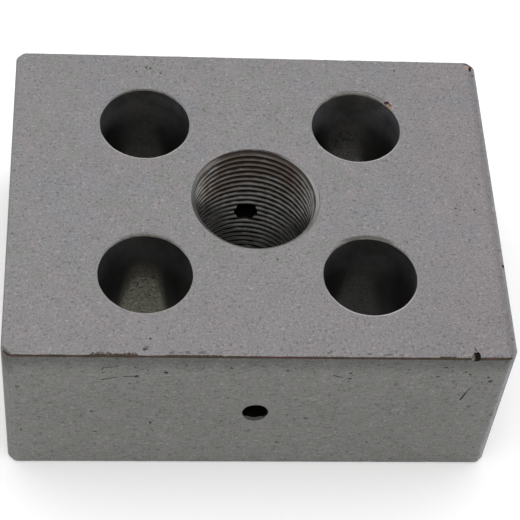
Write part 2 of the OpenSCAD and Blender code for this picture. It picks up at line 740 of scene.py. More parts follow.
# %% Helpers for node groups
def new_group(name, given, made):
    """An empty group with its inputs (name: first value) and outputs (name: first value)."""
    group = bpy.data.node_groups.new(name, "ShaderNodeTree")
    for way, sockets in (("INPUT", given), ("OUTPUT", made)):
        for socket_name, value in sockets.items():
            kind = "Float" if isinstance(value, float) else "Color" if len(value) == 4 else "Vector"
            socket = group.interface.new_socket(socket_name, in_out=way, socket_type=f"NodeSocket{kind}")
            socket.default_value = value
    enter = group.nodes.new("NodeGroupInput")
    leave = group.nodes.new("NodeGroupOutput")
    return group, enter.outputs, leave.inputs


def use_group(tree, group, **values):
    """Places a group and feeds its inputs. An underscore stands for a space in a socket's name."""
    node = tree.nodes.new("ShaderNodeGroup")
    node.node_tree = group
    for name, value in values.items():
        feed(tree, node.inputs[name.replace("_", " ")], value)
    return node.outputs


def around_zero(tree, value, gain):
    """Turns a noise of 0 to 1 into a swing about zero."""
    return calc(tree, "MULTIPLY_ADD", value, gain, -gain / 2)


print("group helpers ready")

# %% [markdown]
# ## Grain
# Bare steel that has dulled in a workshop looks sandy: a fine grain, dark flecks about half a
# millimetre wide, and slow clouds of lighter and darker tone. Three noises of different sizes give
# that. One tone for the colour and one height for the bump come out, so both stay in step.

# %% Grain of bare steel
FLECK_PITCH = 0.55
FLECK_SHIFT = (17.0, 5.0, 3.0)
FINE_SWING = 2.0
BROAD_PITCH = 0.12
BROAD_SWING = 0.3
GRAIN_RELIEF = 0.25


def make_steel_grain():
    """Sandy grain: a tone around 1 for the colour, and a height for the bump."""
    group, given, made = new_group(
        "steel_grain",
        {"Grain size": 0.3, "Contrast": 0.3, "Flecks": 0.3},
        {"Tone": 1.0, "Height": 0.5},
    )
    place = place_in_mm(group)
    pitch = calc(group, "DIVIDE", 1.0, given["Grain size"])
    fine = cloud(group, place, pitch, 2.0, 0.65)
    elsewhere = vector_calc(group, "ADD", place, FLECK_SHIFT)
    fleck = cloud(group, elsewhere, calc(group, "MULTIPLY", pitch, FLECK_PITCH), 1.0)
    dark = fade(group, fleck, 0.6, 0.74)
    pale = fade(group, fleck, 0.38, 0.24)
    broad = cloud(group, place, BROAD_PITCH, 3.0, 0.6)
    fine_swing = around_zero(group, fine, FINE_SWING)
    swing = calc(group, "ADD", fine_swing, around_zero(group, broad, BROAD_SWING))
    swing = calc(group, "MULTIPLY_ADD", calc(group, "SUBTRACT", pale, dark), given["Flecks"], swing)
    group.links.new(calc(group, "MULTIPLY_ADD", swing, given["Contrast"], 1.0), made["Tone"])
    group.links.new(calc(group, "MULTIPLY_ADD", swing, GRAIN_RELIEF, 0.5), made["Height"])
    return group


steel_grain = make_steel_grain()
print("group", steel_grain.name)

# %% [markdown]
# ## Level dashes
# The bar was drawn and milled along its length, so both the top and the sides carry faint dashes that
# run level. A noise that is stretched along one direction gives them. The stretch is an input, because
# the thin direction is the depth on the top and the height on the sides.

# %% Level dashes
LONG_SWING = 2.0
SHORT_PITCH = 2.6
SHORT_SHIFT = (31.0, 7.0, 3.0)
SHORT_DARK = -0.5
SHORT_PALE = 0.35


def make_level_dashes():
    """Faint dashes: a tone around 0 for the colour, and the noise itself for roughness and bump."""
    group, given, made = new_group(
        "level_dashes", {"Stretch": (0.2, 0.2, 1.6), "Contrast": 0.3}, {"Tone": 0.0, "Height": 0.5}
    )
    drawn = vector_calc(group, "MULTIPLY", place_in_mm(group), given["Stretch"])
    long_ones = cloud(group, drawn, 1.0, 3.0, 0.65)
    short_ones = cloud(group, vector_calc(group, "ADD", drawn, SHORT_SHIFT), SHORT_PITCH, 1.0)
    dark = fade(group, short_ones, 0.62, 0.74, 0.0, SHORT_DARK)
    pale = fade(group, short_ones, 0.36, 0.26, 0.0, SHORT_PALE)
    swing = calc(group, "ADD", around_zero(group, long_ones, LONG_SWING), calc(group, "ADD", dark, pale))
    group.links.new(calc(group, "MULTIPLY", swing, given["Contrast"]), made["Tone"])
    group.links.new(long_ones, made["Height"])
    return group


level_dashes = make_level_dashes()
print("group", level_dashes.name)

# %% [markdown]
# ## Pits
# Small round pits lie strewn over the steel. A Voronoi pattern splits the surface into cells, and the
# distance to a cell's own point draws a dot there. Only a chosen share of the cells holds a pit.

# %% Stray pits
PIT_CORE = 0.4


def make_stray_pits():
    """Small round pits strewn at random."""
    group, given, made = new_group(
        "stray_pits", {"Spacing": 6.0, "Share": 0.3, "Size": 0.3}, {"Mask": 0.0}
    )
    cells = group.nodes.new("ShaderNodeTexVoronoi")
    group.links.new(place_in_mm(group), cells.inputs["Vector"])
    group.links.new(calc(group, "DIVIDE", 1.0, given["Spacing"]), cells.inputs["Scale"])
    away = calc(group, "MULTIPLY", cells.outputs["Distance"], given["Spacing"])
    chance = group.nodes.new("ShaderNodeSeparateColor")
    group.links.new(cells.outputs["Color"], chance.inputs["Color"])
    chosen = calc(group, "LESS_THAN", chance.outputs["Red"], given["Share"])
    hole = fade(group, away, given["Size"], calc(group, "MULTIPLY", given["Size"], PIT_CORE))
    group.links.new(calc(group, "MULTIPLY", hole, chosen), made["Mask"])
    return group


stray_pits = make_stray_pits()
print("group", stray_pits.name)

# %% [markdown]
# ## Scratches and dents at chosen places
# Some marks belong to this very block: a scratch that ends in a dent, a dash, a smudge. Each is drawn
# as the distance to a short line in space. A noise, made once in each material, frays its outline.

# %% One mark at a chosen place
NOWHERE = (0.0, 0.0, 0.0)
MARK_CORE = 0.3
LEAST_SQUARE = 0.0001


def make_mark_line():
    """A soft line between two points of the plate, in millimetres. Equal points give a dot."""
    group, given, made = new_group(
        "mark_line",
        {"Place": NOWHERE, "Frayed": 0.5, "From": NOWHERE, "To": NOWHERE, "Width": 0.2},
        {"Mask": 0.0},
    )
    shift = vector_calc(group, "SUBTRACT", given["Place"], given["From"])
    run = vector_calc(group, "SUBTRACT", given["To"], given["From"])
    along = vector_calc(group, "DOT_PRODUCT", shift, run)
    square = calc(group, "MAXIMUM", vector_calc(group, "DOT_PRODUCT", run, run), LEAST_SQUARE)
    share = calc(group, "DIVIDE", along, square)
    share = calc(group, "MINIMUM", calc(group, "MAXIMUM", share, 0.0), 1.0)
    nearest = vector_calc(group, "SCALE", run, share)
    away = vector_calc(group, "LENGTH", vector_calc(group, "SUBTRACT", shift, nearest))
    away = calc(group, "MULTIPLY_ADD", calc(group, "SUBTRACT", given["Frayed"], 0.5), given["Width"], away)
    mask = fade(group, away, given["Width"], calc(group, "MULTIPLY", given["Width"], MARK_CORE))
    group.links.new(mask, made["Mask"])
    return group


mark_line = make_mark_line()
print("group", mark_line.name)

# %% [markdown]
# ## Rings
# Oil has crept out behind the mouths of the holes, and dried drops have left small rings on the front.
# A curve with a thickness could lie on the face for each, but a ring is only the place where the
# distance to its middle equals its radius, so the shader can find it without any more geometry.

# %% One ring
RING_CORE = 0.2


def make_ring_line():
    """A soft ring round a middle, in millimetres."""
    group, given, made = new_group(
        "ring_line",
        {"Place": NOWHERE, "Frayed": 0.5, "Middle": NOWHERE, "Radius": 1.0, "Width": 0.2},
        {"Mask": 0.0},
    )
    out = vector_calc(group, "LENGTH", vector_calc(group, "SUBTRACT", given["Place"], given["Middle"]))
    away = calc(group, "ABSOLUTE", calc(group, "SUBTRACT", out, given["Radius"]))
    away = calc(group, "MULTIPLY_ADD", calc(group, "SUBTRACT", given["Frayed"], 0.5), given["Width"], away)
    mask = fade(group, away, given["Width"], calc(group, "MULTIPLY", given["Width"], RING_CORE))
    group.links.new(mask, made["Mask"])
    return group


ring_line = make_ring_line()
print("group", ring_line.name)

# %% [markdown]
# ## How far a point is from the edges
# Oil and rust gather along edges. Blender could measure that with a bevel or an occlusion node, but
# both are slow and noisy. This block is simple enough to measure by arithmetic from its own sizes.


# %% Distance to the edges
def make_edge_reach():
    """Distance in millimetres to the nearest outer edge."""
    group, _, made = new_group("edge_reach", {}, {"Edge": 0.0})
    place = group.nodes.new("ShaderNodeSeparateXYZ")
    group.links.new(place_in_mm(group), place.inputs[0])
    to_end = calc(group, "SUBTRACT", half_width, calc(group, "ABSOLUTE", place.outputs["X"]))
    to_side = calc(group, "SUBTRACT", half_depth, calc(group, "ABSOLUTE", place.outputs["Y"]))
    from_middle = calc(group, "ABSOLUTE", calc(group, "SUBTRACT", place.outputs["Z"], height / 2))
    to_face = calc(group, "SUBTRACT", height / 2, from_middle)
    least = calc(group, "MINIMUM", to_end, to_side)
    most = calc(group, "MAXIMUM", to_end, to_side)
    middle = calc(group, "MAXIMUM", least, calc(group, "MINIMUM", most, to_face))
    group.links.new(middle, made["Edge"])
    return group


edge_reach = make_edge_reach()
print("group", edge_reach.name)

# %% [markdown]
# ## Brown stain
# Rust and old oil lie over the steel in ragged patches of reddish brown and olive black. The group
# takes the steel's colour and an amount, and gives the stained colour and how dull it became.

# %% Brown stain
OLIVE_BLACK = (0.038, 0.032, 0.019, 1.0)
RED_BROWN = (0.066, 0.037, 0.032, 1.0)
PATCH_PITCH = 0.35
RAGGED_PITCH = 2.2
RAGGED_SWING = 1.2


def make_brown_stain():
    """Rust and old oil over a steel colour."""
    group, given, made = new_group(
        "brown_stain", {"Colour": WHITE, "Amount": 0.0}, {"Colour": WHITE, "Dull": 0.0}
    )
    place = place_in_mm(group)
    patch = fade(group, cloud(group, place, PATCH_PITCH, 2.0), 0.42, 0.64)
    brown = mix_colour(group, patch, OLIVE_BLACK, RED_BROWN)
    ragged = around_zero(group, cloud(group, place, RAGGED_PITCH, 2.0, 0.7), RAGGED_SWING)
    covered = fade(group, calc(group, "ADD", ragged, given["Amount"]), 0.3, 0.65)
    share = calc(group, "MULTIPLY", covered, fade(group, given["Amount"], 0.0, 0.1))
    group.links.new(mix_colour(group, share, given["Colour"], brown), made["Colour"])
    group.links.new(share, made["Dull"])
    return group


brown_stain = make_brown_stain()
print("group", brown_stain.name)

# %% [markdown]
# ## Putting a finish together
# Every finish ends the same way: a colour, a roughness, a share of bare metal and a bump go into one
# Principled shader. The helpers below do that, and they add up a list of marks into one mask.

# %% Helpers for the finishes
STEEL_SPECULAR = 0.3
FRAY_PITCH = 2.6


def shader_of(name):
    """The node tree and the shader of one finish."""
    tree = finish[name].node_tree
    return tree, tree.nodes["Principled BSDF"]


def bump(tree, shader, raised, depth_mm):
    """A bump of so many millimetres on the shader's normal."""
    node = tree.nodes.new("ShaderNodeBump")
    node.inputs["Distance"].default_value = depth_mm * MM
    tree.links.new(raised, node.inputs["Height"])
    tree.links.new(node.outputs["Normal"], shader.inputs["Normal"])


def fraying(tree, place):
    """The noise that frays the outlines of all marks in one finish."""
    return cloud(tree, place, FRAY_PITCH, 1.0)


def add_marks(tree, place, frayed, marks):
    """The strongest of several marks at each point. A mark is (start, end, width)."""
    total = None
    for start, end, width in marks:
        mark = use_group(tree, mark_line, Place=place, Frayed=frayed, From=start, To=end, Width=width)
        total = mark["Mask"] if total is None else calc(tree, "MAXIMUM", total, mark["Mask"])
    return total


def toned(tree, colour, tone):
    """A colour made lighter or darker by a tone."""
    return mix_colour(tree, 1.0, colour, tone, "MULTIPLY")


def darkened(tree, colour, mask, share):
    """A colour that loses a share of itself where the mask is 1."""
    return toned(tree, colour, calc(tree, "MULTIPLY_ADD", mask, -share, 1.0))


def axis_of(tree, vector, axis):
    """One part of a vector."""
    split = tree.nodes.new("ShaderNodeSeparateXYZ")
    tree.links.new(vector, split.inputs[0])
    return split.outputs[axis]


def facing(tree, axis):
    """One part of the way a surface faces, in the plate's own frame."""
    where = tree.nodes.new("ShaderNodeTexCoord")
    return axis_of(tree, where.outputs["Normal"], axis)


def out_from_axis(tree, place):
    """Distance from the upright axis of the thread."""
    level_part = vector_calc(tree, "MULTIPLY", place, (1.0, 1.0, 0.0))
    return vector_calc(tree, "LENGTH", level_part)


print("finish helpers ready")

# %% [markdown]
# ## The milled top and bottom
# The two large faces were milled and have since dulled to an even, pinkish grey with a sandy grain.
# A few dark pits sit in the top, old oil has crept onto it from the front edge, and the back right
# corner has begun to rust. Each mark is listed by its x and y, from one end to the other, with its
# width.

# %% Marks on the top
TOP_PITS = [
    ((-28.0, 45.3), (-28.0, 45.3), 0.5),
    ((-26.9, 45.0), (-26.9, 45.0), 0.4),
    ((-30.7, 43.8), (-30.7, 43.8), 0.4),
    ((-24.1, 43.2), (-24.1, 43.2), 0.4),
    ((52.8, -2.5), (52.8, -2.5), 0.45),
    ((57.8, -2.8), (57.8, -2.8), 0.5),
    ((59.9, 5.7), (59.9, 5.7), 0.4),
    ((-28.9, -47.9), (-28.3, -47.7), 0.5),
    ((-27.3, -44.7), (-27.3, -44.7), 0.45),
    ((53.1, -47.6), (52.9, -46.6), 0.22),
    ((62.7, 45.0), (62.6, 44.8), 0.4),
    ((60.9, 49.3), (62.6, 47.8), 0.4),
    ((40.7, 46.1), (40.7, 46.1), 0.42),
    ((62.6, -43.8), (62.6, -43.8), 0.4),
    ((62.0, -49.0), (62.2, -48.9), 0.45),
    ((5.1, -20.0), (5.1, -20.0), 0.36),
]
TOP_SMUDGES = [
    ((-22.4, -48.8), (-21.8, -48.7), 0.6),
    ((-18.5, -48.7), (-17.9, -48.7), 0.55),
    ((-15.3, -48.7), (-14.2, -48.6), 0.55),
    ((-28.6, -47.3), (-27.9, -47.2), 0.55),
    ((-63.0, -47.7), (-61.6, -49.2), 0.8),
    ((30.2, -49.0), (31.9, -48.8), 0.4),
    ((34.0, -48.9), (34.7, -48.9), 0.33),
    ((26.0, -48.7), (26.8, -48.7), 0.4),
    ((16.0, -48.8), (17.0, -48.0), 0.38),
    ((31.6, 37.9), (34.4, 36.8), 0.4),
    ((34.9, 36.4), (37.0, 34.9), 0.45),
    ((24.6, 37.7), (29.6, 38.1), 0.3),
    ((17.1, 2.1), (17.05, -2.3), 0.2),
    ((17.05, -2.3), (15.65, -7.1), 0.2),
    ((15.65, -7.1), (12.95, -11.3), 0.2),
]
TOP_RUST = [
    ((61.5, 48.3), (61.7, 47.4), 0.75),
    ((38.8, 32.6), (39.2, 32.0), 0.5),
]
FRONT_STAINS = [
    ((-41.3, -49.3), (-37.6, -49.2), 0.95),
    ((-37.6, -49.5), (-34.3, -49.5), 0.8),
    ((-33.3, -49.3), (-30.9, -49.3), 0.85),
    ((-23.6, -49.6), (-10.3, -49.6), 0.32),
    ((44.0, -49.5), (47.7, -49.5), 0.45),
    ((55.0, -49.6), (61.0, -49.6), 0.32),
]


def on_top(marks):
    """Marks of the top face, given by x and y alone, as points in space."""
    return [((*start, height), (*end, height), width) for start, end, width in marks]


top_marks = TOP_PITS + TOP_SMUDGES + TOP_RUST + FRONT_STAINS
print(len(top_marks), "marks on the top")

# %% [markdown]
# ## Dressing the top and the bottom
# Slow clouds turn the grey a little to pink, to green and to blue, and the right end has a darker
# strip with a bluish line. The marks are laid over this one kind at a time: the pits, the oily
# smudges, the oil that has crept out behind the rope holes, the rust, and at last the brown
# stain of the front edge. A painted image could hold them all, but marks that are worked out from
# the place stay sharp from any distance.

# %% Dress the milled faces
PINK_STEEL = (0.2625, 0.246, 0.2525, 1.0)
GREEN_STEEL = (0.2445, 0.2455, 0.2405, 1.0)
BLUE_STEEL = (0.247, 0.2425, 0.2535, 1.0)
END_BLUE = (0.263, 0.266, 0.288, 1.0)
SMUDGE_OLIVE = (0.07, 0.066, 0.052, 1.0)
RUST_PINK = (0.4, 0.24, 0.185, 1.0)
SPILL_RADIUS = rope_radius + ROPE_BREAK + 0.22
SPILL_WIDTH = 0.75
SPILL_FRONT_RIGHT = 0.8
SPILL_FRONT_LEFT = 0.35
SPILL_BACK_RIGHT = 0.3
SPILL_BACK_LEFT = 0.1


def rim_spill(tree, place, frayed):
    """Oil that has crept onto the top just behind the far rims of the rope holes."""
    spill = 0.0
    for centre in rope_centres:
        if centre.y > 0.0:
            share = SPILL_BACK_RIGHT if centre.x > 0.0 else SPILL_BACK_LEFT
        else:
            share = SPILL_FRONT_RIGHT if centre.x > 0.0 else SPILL_FRONT_LEFT
        middle = (centre.x, centre.y, height)
        size = {"Radius": SPILL_RADIUS, "Width": SPILL_WIDTH}
        ring = use_group(tree, ring_line, Place=place, Frayed=frayed, Middle=middle, **size)
        behind = fade(tree, axis_of(tree, place, "Y"), centre.y + 10.0, centre.y + 11.9, 0.0, share)
        spill = calc(tree, "MAXIMUM", spill, calc(tree, "MULTIPLY", ring["Mask"], behind))
    return spill


def top_steel(tree, place):
    """The colour of the bare top: slow clouds, and pinker and darker towards the front right."""
    across = axis_of(tree, place, "X")
    along = axis_of(tree, place, "Y")
    to_front = fade(tree, along, -12.0, -46.0, 0.0, 0.85)
    to_front = calc(tree, "MULTIPLY", to_front, fade(tree, across, -45.0, 0.0, 0.35, 1.0))
    to_right = fade(tree, across, 15.0, 58.0)
    pinkness = fade(tree, cloud(tree, place, 0.24, 3.0, 0.6), 0.4, 0.6)
    pinkness = calc(tree, "MAXIMUM", pinkness, calc(tree, "MAXIMUM", to_front, to_right))
    steel = mix_colour(tree, pinkness, GREEN_STEEL, PINK_STEEL)
    farther = vector_calc(tree, "ADD", place, (9.0, 40.0, 0.0))
    blueness = fade(tree, cloud(tree, farther, 0.11, 2.0), 0.52, 0.7)
    blueness = calc(tree, "MULTIPLY", blueness, calc(tree, "SUBTRACT", 1.0, to_front))
    steel = mix_colour(tree, blueness, steel, BLUE_STEEL)
    steel = darkened(tree, steel, to_front, 0.03)
    steel = darkened(tree, steel, to_right, 0.02)
    steel = darkened(tree, steel, calc(tree, "MULTIPLY", to_front, to_right), 0.05)
    end_strip = fade(tree, across, half_width - 2.9, half_width - 1.5)
    end_strip = calc(tree, "MULTIPLY", end_strip, fade(tree, across, half_width - 0.3, half_width - 0.9))
    end_line = fade(tree, across, half_width - 0.85, half_width - 0.45, 0.0, 0.8)
    return mix_colour(tree, end_line, darkened(tree, steel, end_strip, 0.14), END_BLUE)


def stain_on_top(tree, place, frayed):
    """How much brown stain the top has: a little along its edges, and ragged patches at the front."""
    near_edge = fade(tree, use_group(tree, edge_reach)["Edge"], 1.1, 0.4)
    at_front = fade(tree, axis_of(tree, place, "Y"), 2.0 - half_depth, 1.2 - half_depth, 0.06, 0.3)
    stains = add_marks(tree, place, frayed, on_top(FRONT_STAINS))
    islands = fade(tree, cloud(tree, place, 1.5, 2.0), 0.38, 0.56, 0.26, 0.62)
    stains = calc(tree, "MULTIPLY", stains, islands)
    return calc(tree, "MULTIPLY_ADD", near_edge, at_front, stains)


def dress_milled_face():
    """The finish of the top and the bottom."""
    tree, shader = shader_of("milled_face")
    place = place_in_mm(tree)
    frayed = fraying(tree, place)
    steel = top_steel(tree, place)
    grain = use_group(tree, steel_grain, Grain_size=0.45, Contrast=0.55, Flecks=0.55)
    dashes = use_group(tree, level_dashes, Stretch=(0.45, 1.5, 1.0), Contrast=0.16)
    steel = toned(tree, steel, calc(tree, "ADD", grain["Tone"], dashes["Tone"]))
    strewn = use_group(tree, stray_pits, Spacing=7.0, Share=0.25, Size=0.8)["Mask"]
    pits = add_marks(tree, place, frayed, on_top(TOP_PITS))
    pits = calc(tree, "MAXIMUM", pits, calc(tree, "MULTIPLY", strewn, 0.45))
    steel = darkened(tree, steel, pits, 0.75)
    smudges = add_marks(tree, place, frayed, on_top(TOP_SMUDGES))
    oily = calc(tree, "MAXIMUM", calc(tree, "MULTIPLY", smudges, 0.6), rim_spill(tree, place, frayed))
    steel = mix_colour(tree, oily, steel, SMUDGE_OLIVE)
    rust = add_marks(tree, place, frayed, on_top(TOP_RUST))
    steel = mix_colour(tree, calc(tree, "MULTIPLY", rust, 0.7), steel, RUST_PINK)
    stain = use_group(tree, brown_stain, Colour=steel, Amount=stain_on_top(tree, place, frayed))
    tree.links.new(stain["Colour"], shader.inputs["Base Color"])
    rough = calc(tree, "MULTIPLY_ADD", grain["Tone"], -0.15, 0.68)
    tree.links.new(calc(tree, "MULTIPLY_ADD", stain["Dull"], 0.2, rough), shader.inputs["Roughness"])
    bare = calc(tree, "MULTIPLY_ADD", calc(tree, "MAXIMUM", stain["Dull"], rust), -0.5, 0.6)
    tree.links.new(bare, shader.inputs["Metallic"])
    shader.inputs["Specular IOR Level"].default_value = STEEL_SPECULAR
    bump(tree, shader, calc(tree, "MULTIPLY_ADD", pits, -2.0, grain["Height"]), 0.03)


dress_milled_face()
print("milled_face has", len(finish["milled_face"].node_tree.nodes), "nodes")

# %% [markdown]
# ## The sides of the bar
# The front, the back and the two ends keep more of the bar's own skin. They are darker, a little
# greenish, and drawn out into level dashes. The front face also has scratches, dents, two rings from
# dried drops and an olive run, which are listed by their x and z.

# %% Marks on the front
FRONT_MARKS = [
    ((-39.1, 39.7), (-35.1, 40.9), 0.2),
    ((-33.6, 41.1), (-31.0, 41.25), 0.19),
    ((-30.7, 41.3), (-30.3, 41.4), 0.6),
    ((-39.1, 44.2), (-38.6, 45.1), 0.21),
    ((-38.6, 45.1), (-36.2, 45.4), 0.18),
    ((-35.8, 45.5), (-35.1, 46.0), 0.2),
    ((-23.45, 43.2), (-23.1, 43.0), 0.6),
    ((-27.8, 44.2), (-27.6, 44.1), 0.3),
    ((-31.1, 45.4), (-30.7, 45.3), 0.26),
    ((-32.3, 38.0), (-32.1, 37.9), 0.32),
    ((-26.65, 20.0), (-26.55, 19.5), 0.45),
    ((-40.8, 15.3), (-40.4, 15.2), 0.34),
    ((-59.6, 16.3), (-59.4, 15.9), 0.34),
    ((-7.5, 45.4), (-7.1, 45.2), 0.32),
    ((18.2, 42.3), (20.4, 41.5), 0.26),
    ((22.3, 43.4), (22.6, 43.3), 0.36),
    ((22.3, 41.0), (22.6, 40.9), 0.42),
    ((45.7, 46.2), (46.1, 46.3), 0.36),
    ((52.3, 43.2), (52.6, 43.0), 0.34),
    ((51.2, 44.3), (51.4, 44.2), 0.28),
    ((57.2, 42.0), (57.4, 41.8), 0.42),
    ((57.9, 40.1), (58.3, 40.2), 0.58),
    ((51.9, 31.6), (52.7, 34.6), 0.36),
    ((52.7, 34.6), (53.6, 37.2), 0.17),
    ((47.7, 44.8), (47.9, 44.7), 0.3),
    ((44.3, 42.1), (44.6, 42.2), 0.34),
    ((36.6, 45.2), (36.9, 45.2), 0.28),
    ((30.4, 10.6), (30.6, 10.5), 0.36),
]
DROP_RINGS = [
    ((-19.6, 46.0), 1.35),
    ((-14.9, 45.5), 0.95),
]
DROP_WIDTH = 0.4
OLIVE_RUN = [((-61.2, 48.5), (-61.3, 42.5), 1.0)]


def on_front(marks):
    """Marks of the front face, given by x and z alone, as points in space."""
    return [((x0, -half_depth, z0), (x1, -half_depth, z1), width) for (x0, z0), (x1, z1), width in marks]


print(len(FRONT_MARKS) + len(OLIVE_RUN), "marks on the front")

# %% [markdown]
# ## Dressing the sides
# Oil has run a few millimetres down from the top edge, and low down the steel is painted a little
# paler, a painted light against the shade near the floor. The cut corners need tones of their own:
# pale and bluish on the right, and on the left darker, as painted shade. All of this follows from the
# place on the block, so that one finish serves all four sides.

# %% Dress the sides
SIDE_GREEN = (0.176, 0.181, 0.166, 1.0)
SIDE_GREY = (0.185, 0.181, 0.177, 1.0)
RUN_OLIVE = (0.1, 0.1, 0.07, 1.0)
PALE_CUT = (0.234, 0.236, 0.249, 1.0)


def corner_cuts(tree, place):
    """1 on the four cut corners of the block, and 0 on its broad sides."""
    across = calc(tree, "ABSOLUTE", axis_of(tree, place, "X"))
    along = calc(tree, "ABSOLUTE", axis_of(tree, place, "Y"))
    past_end = fade(tree, across, half_width - CORNER_CUT - 0.1, half_width - CORNER_CUT + 0.3)
    past_side = fade(tree, along, half_depth - CORNER_CUT - 0.1, half_depth - CORNER_CUT + 0.3)
    return calc(tree, "MULTIPLY", past_end, past_side)


def side_steel(tree, place):
    """The bar's own skin, with the cut corners pale on the right and dark on the left as painted shade."""
    greyness = fade(tree, cloud(tree, place, 0.2, 3.0, 0.6), 0.4, 0.62)
    steel = mix_colour(tree, greyness, SIDE_GREEN, SIDE_GREY)
    cuts = corner_cuts(tree, place)
    right = fade(tree, axis_of(tree, place, "X"), -1.0, 1.0)
    right_cut = calc(tree, "MULTIPLY", cuts, right)
    steel = mix_colour(tree, right_cut, steel, PALE_CUT)
    left_cut = calc(tree, "SUBTRACT", cuts, right_cut)
    # Painted shade on the upper part of the left cut corners.
    left_shade = fade(tree, axis_of(tree, place, "Z"), 36.0, 48.0, 0.14, 0.45)
    return darkened(tree, steel, calc(tree, "MULTIPLY", left_cut, left_shade), 1.0)


def oil_and_painted_lift(tree, place, steel):
    """Oil below the top edge, a foot painted paler as painted light, and a slow darkening to the right."""
    level = axis_of(tree, place, "Z")
    oil_patches = calc(tree, "MULTIPLY_ADD", cloud(tree, place, 0.3, 2.0), 0.8, 0.6)
    oil = calc(tree, "MULTIPLY", fade(tree, level, height - 8.0, height - 0.2), oil_patches)
    steel = darkened(tree, steel, oil, 0.4)
    # Painted light: up to a tenth paler low down, against the shade near the floor.
    steel = toned(tree, steel, fade(tree, level, 26.0, 2.0, 1.0, 1.1))
    return toned(tree, steel, fade(tree, axis_of(tree, place, "X"), 10.0, 58.0, 1.0, 0.945))


def dress_bar_side():
    """The finish of the front, the back, the ends and the cut corners."""
    tree, shader = shader_of("bar_side")
    place = place_in_mm(tree)
    frayed = fraying(tree, place)
    steel = side_steel(tree, place)
    dashes = use_group(tree, level_dashes, Stretch=(0.28, 0.28, 1.2), Contrast=0.48)
    grain = use_group(tree, steel_grain, Grain_size=0.5, Contrast=0.6, Flecks=0.55)
    steel = toned(tree, steel, calc(tree, "ADD", grain["Tone"], dashes["Tone"]))
    for (x, z), radius in DROP_RINGS:
        middle = (x, -half_depth, z)
        drop = use_group(
            tree, ring_line, Place=place, Frayed=frayed, Middle=middle, Radius=radius, Width=DROP_WIDTH
        )
        steel = darkened(tree, steel, drop["Mask"], 0.2)
    marks = add_marks(tree, place, frayed, on_front(FRONT_MARKS))
    strewn = use_group(tree, stray_pits, Spacing=6.0, Share=0.25, Size=0.8)["Mask"]
    pits = calc(tree, "MAXIMUM", marks, calc(tree, "MULTIPLY", strewn, 0.55))
    steel = darkened(tree, steel, pits, 0.94)
    run = add_marks(tree, place, frayed, on_front(OLIVE_RUN))
    steel = mix_colour(tree, calc(tree, "MULTIPLY", run, 0.45), steel, RUN_OLIVE)
    steel = oil_and_painted_lift(tree, place, steel)
    near_edge = fade(tree, use_group(tree, edge_reach)["Edge"], 1.4, 0.4)
    at_top = fade(tree, axis_of(tree, place, "Z"), height / 2, height - 2.0, 0.1, 0.36)
    stain = use_group(tree, brown_stain, Colour=steel, Amount=calc(tree, "MULTIPLY", near_edge, at_top))
    tree.links.new(stain["Colour"], shader.inputs["Base Color"])
    rough = calc(tree, "ADD", around_zero(tree, dashes["Height"], 0.3), 0.52)
    tree.links.new(rough, shader.inputs["Roughness"])
    tree.links.new(calc(tree, "MULTIPLY_ADD", stain["Dull"], -0.5, 0.6), shader.inputs["Metallic"])
    shader.inputs["Specular IOR Level"].default_value = STEEL_SPECULAR
    raised = calc(tree, "MULTIPLY_ADD", dashes["Height"], 0.5, grain["Height"])
    bump(tree, shader, calc(tree, "MULTIPLY_ADD", pits, -4.0, raised), 0.03)


dress_bar_side()
print("bar_side has", len(finish["bar_side"].node_tree.nodes), "nodes")

# %% [markdown]
# ## The finish of the broken edges
# Where the file has opened the steel, rust takes hold first. The front edge of the top is nearly black
# with brown patches, while the other edges are bare with a few spots, and a little blue at the right
# end. The place alone decides which is which, so one finish serves them all.

# %% Dress the edges
EDGE_STEEL = (0.21, 0.207, 0.207, 1.0)
EDGE_BLUE = (0.222, 0.227, 0.25, 1.0)


def dress_broken_edge():
    """The finish of the filed edges."""
    tree, shader = shader_of("broken_edge")
    place = place_in_mm(tree)
    grain = use_group(tree, steel_grain, Grain_size=0.3, Contrast=0.5, Flecks=0.5)
    at_right = fade(tree, axis_of(tree, place, "X"), half_width - 1.0, half_width - 0.4)
    steel = toned(tree, mix_colour(tree, at_right, EDGE_STEEL, EDGE_BLUE), grain["Tone"])
    reach = fade(tree, axis_of(tree, place, "X"), -6.0, 6.0, 2.4, 0.9)
    from_front = calc(tree, "ADD", axis_of(tree, place, "Y"), half_depth)
    at_front = fade(tree, from_front, reach, 0.4)
    at_top = fade(tree, axis_of(tree, place, "Z"), height - 3.0, height - 1.0)
    front_edge = calc(tree, "MULTIPLY", at_front, at_top)
    amount = calc(tree, "MULTIPLY_ADD", front_edge, 0.85, 0.2)
    stain = use_group(tree, brown_stain, Colour=steel, Amount=amount)
    tree.links.new(stain["Colour"], shader.inputs["Base Color"])
    tree.links.new(calc(tree, "MULTIPLY_ADD", stain["Dull"], 0.35, 0.4), shader.inputs["Roughness"])
    tree.links.new(calc(tree, "MULTIPLY_ADD", stain["Dull"], -0.7, 0.8), shader.inputs["Metallic"])
    shader.inputs["Specular IOR Level"].default_value = STEEL_SPECULAR
    bump(tree, shader, grain["Height"], 0.04)


dress_broken_edge()
print("broken_edge has", len(finish["broken_edge"].node_tree.nodes), "nodes")

# %% [markdown]
# ## The rims of the holes
# Ropes and a rod have rubbed the mouths of the holes. The rim nearest the front is polished, and it
# is painted much paler as a painted highlight, a thin line that catches the light; old oil has stayed
# on the rim across from it. The way a rim faces, in the plate's own frame, tells the two apart,
# whichever hole it belongs to. The mouth of the thread is cut more steeply than the others, so its
# oil needs limits of its own. Its far side is darkened by oil and painted shade, and two painted dark
# lines at its back left stand for the shade of grooves that the cone has cut away. It is paler on the
# right as a painted reflection, and darker on the left as painted shade.

